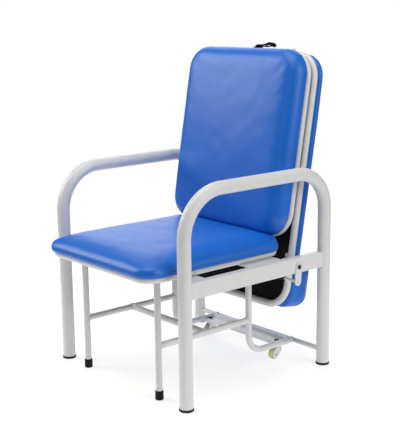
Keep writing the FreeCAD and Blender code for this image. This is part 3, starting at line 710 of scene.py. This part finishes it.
def over_tube(skin):
    """Lift the seat pad's underside off the tube and the board, then press it below the back pad."""
    keep = tube_radius + tube_clear
    base = tube_radius + board_clear
    tree = BVHTree.FromPolygons([v.co for v in back_pad.data.vertices],
                                [p.vertices for p in back_pad.data.polygons])
    for vertex in skin.vertices:
        gap = loop_distance(vertex.co)
        if gap < keep:
            vertex.co.z = max(vertex.co.z, base if gap <= 0 else math.sqrt(keep ** 2 - gap ** 2))
        start = seat_place @ Vector((vertex.co.x, vertex.co.y, 0))
        hit = tree.ray_cast(start, UP)[0]
        if hit:
            vertex.co.z = min(vertex.co.z, hit.z - start.z - press_clear)


make_pad("seat_pad", "seat_cushion", seat_place, "seat_carriage", corners=(62 * MM, 50 * MM),
         roll=16 * MM, crown=28 * MM, power=6.0, rear_drop=0.1, shaped=over_tube, foot=10 * MM)

# %% [markdown]
# The pull strap is a length of woven webbing, folded into a loop under a small steel clip on the top
# tube. It is a grid of faces laid along a curve and thickened, because a simulation would lose the fold.
# The thickness is in the mesh and not in a modifier.

# %% Strap curve
strap_low, strap_high = lying_box("pull_strap", back_place)
strap_width = strap_high.z - strap_low.z
strap_length = strap_high.x - strap_low.x
strap_rise = strap_high.y - strap_low.y
web_thick, web_cup = 2.2 * MM, 1.0 * MM
loop_shares = ((-0.05, 0.05), (0.03, 0.07), (0.09, 0.18), (0.15, 0.42), (0.27, 0.56), (0.50, 0.58),
               (0.72, 0.74), (0.86, 0.92), (0.94, 0.78), (0.96, 0.48), (0.88, 0.32), (0.70, 0.40),
               (0.48, 0.30), (0.30, 0.34), (0.20, 0.24), (0.13, 0.12), (0.05, 0.19), (-0.05, 0.17))
web_steps, web_ribs = 120, 8


def along_curve(points, share):
    """A point at a share of the way along a smooth line through some points."""
    spot = share * (len(points) - 1)
    index = min(int(spot), len(points) - 2)
    t = spot - index
    before, start, end, after = (points[min(max(index + k, 0), len(points) - 1)]
                                 for k in (-1, 0, 1, 2))
    return start + ((end - before) * t + (2 * before - 5 * start + 4 * end - after) * t ** 2
                    + (3 * start - before - 3 * end + after) * t ** 3) / 2


# %% Pull strap
strap_middle = (strap_low.z + strap_high.z) / 2
loop_points = [Vector((strap_length * x, strap_low.y + strap_rise * y, strap_middle))
               for x, y in loop_shares]
web = bmesh.new()
web.loops.layers.uv.new("weave")
bmesh.ops.create_grid(web, x_segments=web_steps, y_segments=web_ribs, size=0.5, calc_uvs=True)
for vertex in web.verts:
    share, side = vertex.co.x + 0.5, vertex.co.y
    cup = web_cup * (1 - (2 * side) ** 2) * math.sin(math.pi * share)
    vertex.co = along_curve(loop_points, share) + Vector((0, cup, strap_width * side))
bmesh.ops.solidify(web, geom=list(web.faces), thickness=web_thick)
bmesh.ops.recalc_face_normals(web, faces=list(web.faces))
web.transform(back_place)
strap = make_piece("strap_loop", web, webbing, "back_panel", "black_webbing", "pull_strap")
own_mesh(strap)

# %% [markdown]
# The moulded and turned pieces are round, so each one is a half profile spun about its axis. Feet and
# tips get the eased rims and ribs that a mould gives them, which the plain solids leave out. A profile's
# points are a radius and a height in millimetres.

# %% Spun pieces
spin_steps = 48


def spun(profile):
    """A closed round shape about the Z axis, from a half profile in millimetres."""
    mesh = bmesh.new()
    points = [mesh.verts.new((radius * MM, 0, height * MM)) for radius, height in profile]
    edges = [mesh.edges.new(pair) for pair in zip(points, points[1:])]
    bmesh.ops.spin(mesh, geom=points + edges, cent=(0, 0, 0), axis=UP, angle=2 * math.pi,
                   steps=spin_steps, use_merge=True, use_duplicate=False)
    bmesh.ops.remove_doubles(mesh, verts=mesh.verts, dist=hair)
    bmesh.ops.recalc_face_normals(mesh, faces=mesh.faces)
    return mesh


foot_profile = ((0, 0), (18.6, 0), (20.8, 0.7), (21.8, 2.0), (22, 4.0), (21.9, 6.4), (21.2, 7.6),
                (20.2, 8.0), (0, 8.0))
tip_profile = ((0, 0), (10.4, 0), (11.9, 0.8), (12.5, 2.2), (12.5, 8.0), (12.1, 8.6), (12.1, 9.6),
               (12.5, 10.2), (12.5, 14.0), (12.1, 14.6), (12.1, 15.6), (12.5, 16.2), (12.4, 25.6),
               (11.9, 27.4), (11.2, 28), (10.1, 28), (10.1, 12), (0, 12))

# %% Foot caps and leg tips
arm_x, arm_half_run = middle_of("right_arm_tube").x, half_of("right_arm_tube").y
arm_y, arm_radius = middle_of("right_arm_tube").y, half_of("right_arm_tube").x
leg_run = arm_half_run - arm_radius
foot_mesh = bmesh.new()
for side in SIDES.values():
    for end in (-1, 1):
        add_shape(foot_mesh, spun(foot_profile),
                  Matrix.Translation((side * arm_x, arm_y + end * leg_run, 0)))
make_piece("foot_glides", foot_mesh, black_plastic, "arm_frame", "black_plastic", "foot_caps")

front_leg = middle_of("right_front_leg")
tip_mesh = bmesh.new()
for side in SIDES.values():
    add_shape(tip_mesh, spun(tip_profile), Matrix.Translation((side * front_leg.x, front_leg.y, 0)))
make_piece("rubber_tips", tip_mesh, black_rubber, "seat_carriage", "black_rubber", "leg_tips")

# %% [markdown]
# The head panel swings on two bolts, and two pins stop it. Their heads are domed, with a hexagon socket
# in each bolt and a dimple in each pin, where the frame has plain discs.

# %% Bolts and pins
shaft_ease = 0.6
dome_shares = ((1, 0), (1, 0.25), (0.92, 0.6), (0.75, 0.87), (0.55, 1))


def pin_profile(length, shaft, head, rim, socket, depth):
    """Half profile of a shaft whose domed head has a socket in it."""
    face = length - rim
    dome = [(head * out, face + rim * up) for out, up in dome_shares]
    return [(0, 0), (shaft - shaft_ease, 0), (shaft, shaft_ease), (shaft, face), *dome,
            (socket, length), (socket, length - depth), (0, length - depth)]


def hexed(mesh, socket):
    """Make a round socket six-sided."""
    for vertex in mesh.verts:
        reach = math.hypot(vertex.co.x, vertex.co.y)
        if abs(reach - socket * MM) < 0.01 * MM:
            turn = math.atan2(vertex.co.y, vertex.co.x) % (math.pi / 3)
            vertex.co.xy *= math.cos(math.pi / 6) / math.cos(turn - math.pi / 6)


def pin_pair(name, node, material, slot, shaft, head, rim, socket, depth, six_sided=False):
    """A pin on each side of the chair, in the room of a frame node, with its sizes in millimetres."""
    inner = min(abs(vertex.co.x) for vertex in frame["nodes"][node].data.vertices)
    spot = middle_of(node)
    pair = bmesh.new()
    for side in SIDES.values():
        pin = spun(pin_profile((half_of(node).x - inner) / MM, shaft, head, rim, socket, depth))
        if six_sided:
            hexed(pin, socket)
        add_shape(pair, pin, Matrix.Translation((side * inner, spot.y, spot.z))
                  @ UP.rotation_difference(ACROSS * side).to_matrix().to_4x4())
    make_piece(name, pair, material, "arm_frame", slot, node)


# The dark steel heads are partly painted shade, standing in for the shade inside each socket.
pin_pair("pivot_cap_bolts", "pivot_bolts", dark_steel, "dark_steel", shaft=4, head=7, rim=4, socket=2.9,
         depth=2.4, six_sided=True)
pin_pair("stop_rivets", "stop_pins", powder_coat, "frame_paint", shaft=4, head=5.5, rim=2, socket=1.6,
         depth=1.4)

# %% [markdown]
# A caster has a soft tread on a hard hub. Two half profiles are spun, one for each, and laid along the
# axle that the frame's wheel joint names.

# %% Caster wheels
tread_profile = ((9.6, -7), (14.6, -7), (16.2, -6.2), (17, -4.6), (17, 4.6), (16.2, 6.2), (14.6, 7),
                 (9.6, 7), (9.6, -7))
hub_profile = ((3.1, -6.8), (5.2, -6.8), (5.6, -6.2), (6.0, -4.2), (8.6, -4.2), (9.2, -6.2),
               (10.0, -6.9), (10.0, 6.9), (9.2, 6.2), (8.6, 4.2), (6.0, 4.2), (5.6, 6.2), (5.2, 6.8),
               (3.1, 6.8), (3.1, -6.8))
for name in SIDES:
    joint = joints[name + "_wheel_spin"]
    along_axle = UP.rotation_difference(Vector(joint["axis"])).to_matrix().to_4x4()
    lay = Matrix.Translation(Vector(joint["pos_m"])) @ along_axle
    for kind, profile, material, slot, nodes in (
            ("tread", tread_profile, tread, "caster_tread", [name + "_caster_wheel"]),
            ("hub", hub_profile, hub_plastic, "caster_white", [])):
        wheel = bmesh.new()
        add_shape(wheel, spun(profile), lay)
        make_piece(f"{name}_wheel_{kind}", wheel, material, name + "_wheel", slot, *nodes)

# %% [markdown]
# Wherever two tubes meet, the welder leaves a small rippled bead. A bead is a little circle spun into a
# ring, then bent so that it follows the round of the larger tube. The flat crossbars need a squarer ring.

# %% Weld bead
bead_radius = 1.9 * MM
bead_sides, bead_steps = 8, 56
bead_ripples = 15
ripple_share, stray_share = 0.22, 0.25
round_ring, flat_ring = 2.0, 7.0


def weld_bead(half_run, half_width, larger_radius, squareness, seed):
    """A bead in its own frame: X along the larger tube, Y across it, Z along the tube that joins it."""
    mesh = bmesh.new()
    around = bmesh.ops.create_circle(mesh, segments=bead_sides, radius=bead_radius)["verts"]
    bmesh.ops.rotate(mesh, verts=around, cent=(0, 0, 0), matrix=Matrix.Rotation(math.pi / 2, 3, "X"))
    bmesh.ops.translate(mesh, verts=around, vec=ACROSS)
    bmesh.ops.spin(mesh, geom=list(mesh.verts) + list(mesh.edges), cent=(0, 0, 0), axis=UP,
                   angle=2 * math.pi, steps=bead_steps, use_merge=True, use_duplicate=False)
    bmesh.ops.remove_doubles(mesh, verts=mesh.verts, dist=1e-7)
    bmesh.ops.recalc_face_normals(mesh, faces=mesh.faces)
    for vertex in mesh.verts:
        turn = math.atan2(vertex.co.y, vertex.co.x)
        cos, sin = math.cos(turn), math.sin(turn)
        ripple = ripple_share * math.sin(bead_ripples * turn + seed)
        fullness = 1 + ripple + stray_share * noise.noise((turn * 2, seed, 0))
        reach = (math.hypot(vertex.co.x, vertex.co.y) - 1) * fullness
        square = (abs(cos) ** squareness + abs(sin) ** squareness) ** (-1 / squareness)
        along = (half_run * square + reach) * cos
        side = (half_width * square + reach) * sin
        inside = min(abs(side), larger_radius)
        drop = larger_radius - math.sqrt(max(0, larger_radius ** 2 - inside ** 2))
        vertex.co = Vector((along, side, vertex.co.z * fullness - drop))
    return mesh


def bead_place(point, run, away):
    """The frame of a bead at a point: X along the larger tube's run, Z away from it."""
    return Matrix.Translation(point) @ Matrix((run, away.cross(run), away)).transposed().to_4x4()


# %% Arm frame welds
bar_middle, bar_half = middle_of("right_crossbar"), half_of("right_crossbar")
brace_middle, brace_radius = middle_of("rear_brace"), half_of("rear_brace").z
arm_welds = bmesh.new()
for side in SIDES.values():
    for end in (-1, 1):
        point = Vector((side * arm_x, arm_y + end * (leg_run - arm_radius), bar_middle.z))
        add_shape(arm_welds, weld_bead(bar_half.z, bar_half.x, arm_radius, flat_ring, side + 3 * end),
                  bead_place(point, UP, ALONG * -end))
    point = Vector((side * (arm_x - arm_radius), brace_middle.y, brace_middle.z))
    add_shape(arm_welds, weld_bead(brace_radius, brace_radius, arm_radius, round_ring, side),
              bead_place(point, UP, ACROSS * -side))
make_piece("arm_weld_beads", arm_welds, weld_paint, "arm_frame", "frame_paint")

# %% Carriage welds
thin = half_of("right_side_rail").z
rail_z = middle_of("right_side_rail").z
skid_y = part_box("right_skid_tube")[0][1] + thin
rail_welds = bmesh.new()
for side in SIDES.values():
    x = side * front_leg.x
    seats = [(Vector((x, front_leg.y + thin, rail_z)), UP, ALONG),
             (Vector((x, skid_y - thin, rail_z)), UP, -ALONG)]
    for node in ("middle_cross_tube", "rear_cross_tube"):
        spot = middle_of(node)
        seats.append((Vector((side * (front_leg.x - thin), spot.y, spot.z)), ALONG, ACROSS * -side))
    for node, y in (("front_bearer", front_leg.y), ("rear_bearer", skid_y)):
        seats.append((Vector((x, y, middle_of(node).z - thin)), ACROSS, -UP))
    for count, (point, run, away) in enumerate(seats):
        add_shape(rail_welds, weld_bead(thin, thin, thin, round_ring, side + 2 * count),
                  bead_place(point, run, away))
make_piece("carriage_weld_beads", rail_welds, weld_paint, "seat_carriage", "frame_paint")
